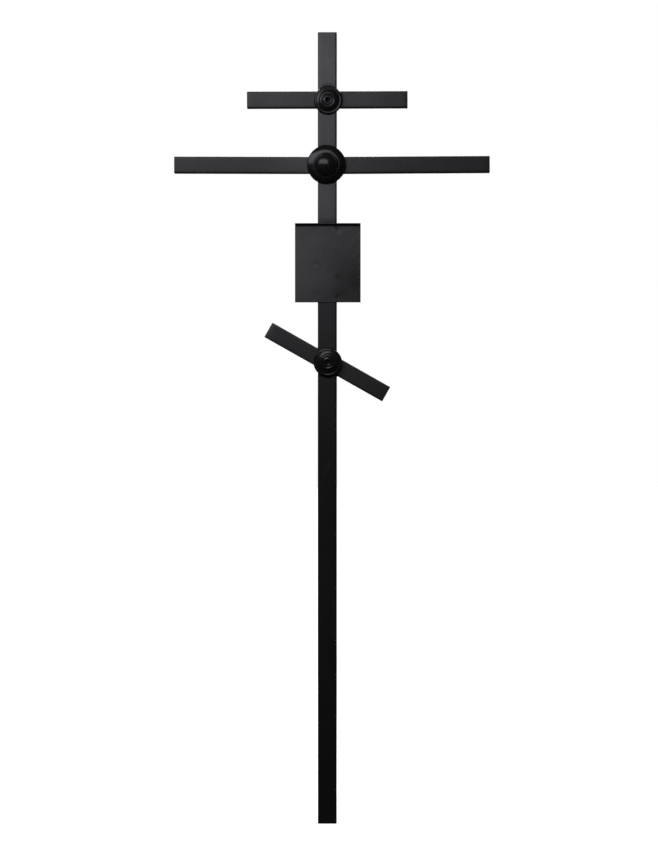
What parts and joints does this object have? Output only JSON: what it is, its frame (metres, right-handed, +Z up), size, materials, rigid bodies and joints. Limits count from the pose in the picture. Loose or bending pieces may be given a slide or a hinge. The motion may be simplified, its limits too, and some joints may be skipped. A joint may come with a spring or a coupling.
{
  "type": "grave cross",
  "caption": "Tall thin grave cross of black-painted square steel tube, with two level bars, a slanted foot bar, round rosettes on the crossings and a bare name plate.",
  "frame": {"origin": "centre of the post's foot, on the flat face where the cross meets the ground", "axes": "+Z up along the post, -Y out of the front with the rosettes and the name plate, +X to the right of a viewer who faces the front"},
  "size_m": [0.8377, 0.0803, 2.1],
  "materials": {
    "tube_paint": "satin black",
    "rosette_paint": "glossy black",
    "plate_paint": "satin black"
  },
  "bodies": {
    "root": {"post": "tube_paint", "post_top_cap": "tube_paint", "post_foot_plate": "tube_paint", "top_arm_left": "tube_paint", "top_arm_left_cap": "tube_paint", "top_arm_right": "tube_paint", "top_arm_right_cap": "tube_paint", "main_arm_left": "tube_paint", "main_arm_left_cap": "tube_paint", "main_arm_right": "tube_paint", "main_arm_right_cap": "tube_paint", "foot_arm_left": "tube_paint", "foot_arm_left_cap": "tube_paint", "foot_arm_right": "tube_paint", "foot_arm_right_cap": "tube_paint", "top_rosette": "rosette_paint", "main_boss": "rosette_paint", "foot_rosette": "rosette_paint", "name_plate": "plate_paint"}
  },
  "joints": []
}
